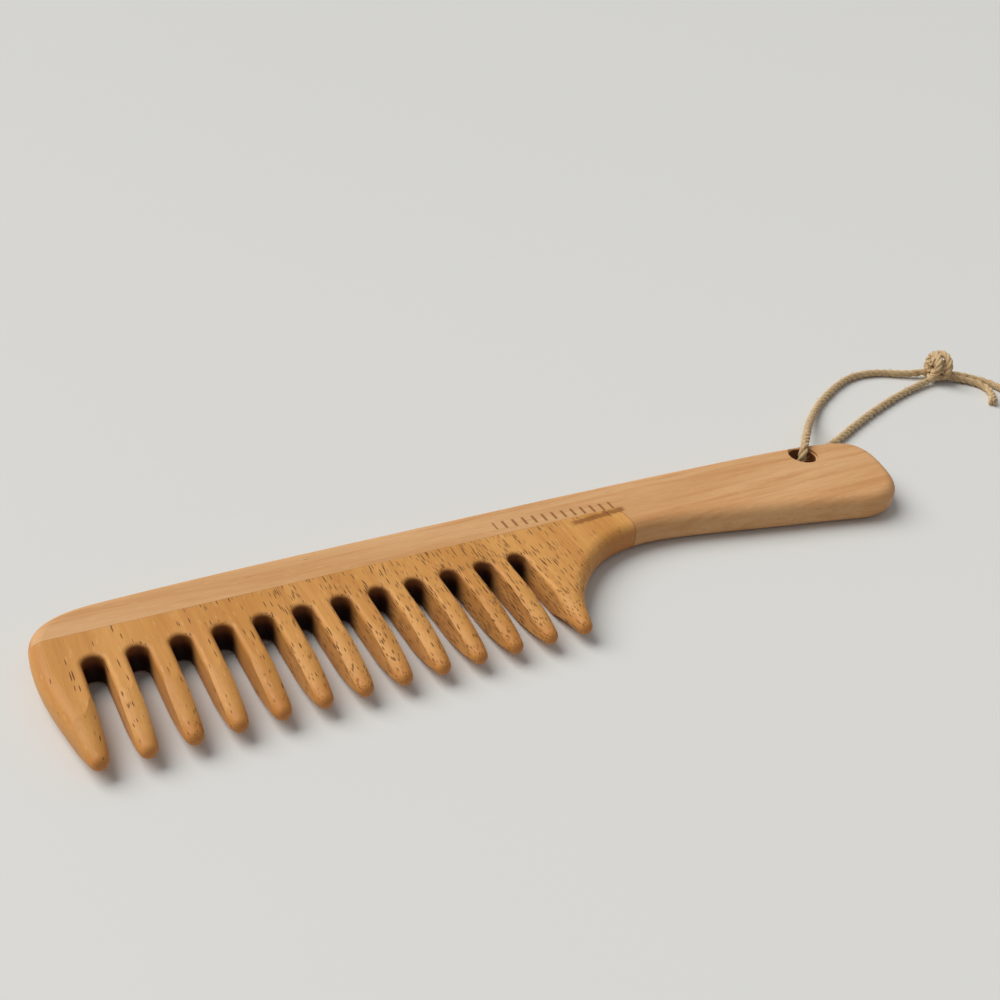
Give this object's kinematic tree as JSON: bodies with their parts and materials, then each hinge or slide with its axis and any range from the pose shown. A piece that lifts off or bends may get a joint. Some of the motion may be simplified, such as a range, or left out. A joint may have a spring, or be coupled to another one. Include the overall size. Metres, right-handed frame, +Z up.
{
  "type": "wide tooth comb",
  "caption": "Wide tooth wooden comb with a curved handle, round-tipped teeth in a glued-in block and a knotted twine hanging loop.",
  "frame": {"origin": "middle of the wooden comb's bounding box, on its underside, where it rests on a table", "axes": "+X from the toothed end towards the handle, +Y from the teeth towards the spine's back, +Z up through the thickness"},
  "size_m": [0.3017, 0.0797, 0.0097],
  "materials": {
    "tooth_wood": "oiled satin, grain along the teeth",
    "board_wood": "oiled satin, grain along the handle",
    "twine": "rough twisted jute"
  },
  "bodies": {
    "root": {"tooth_block": "tooth_wood", "handle_and_spine": "board_wood", "hang_cord_upper": "twine", "hang_cord_lower": "twine", "hang_cord_knot": "twine"}
  },
  "joints": []
}
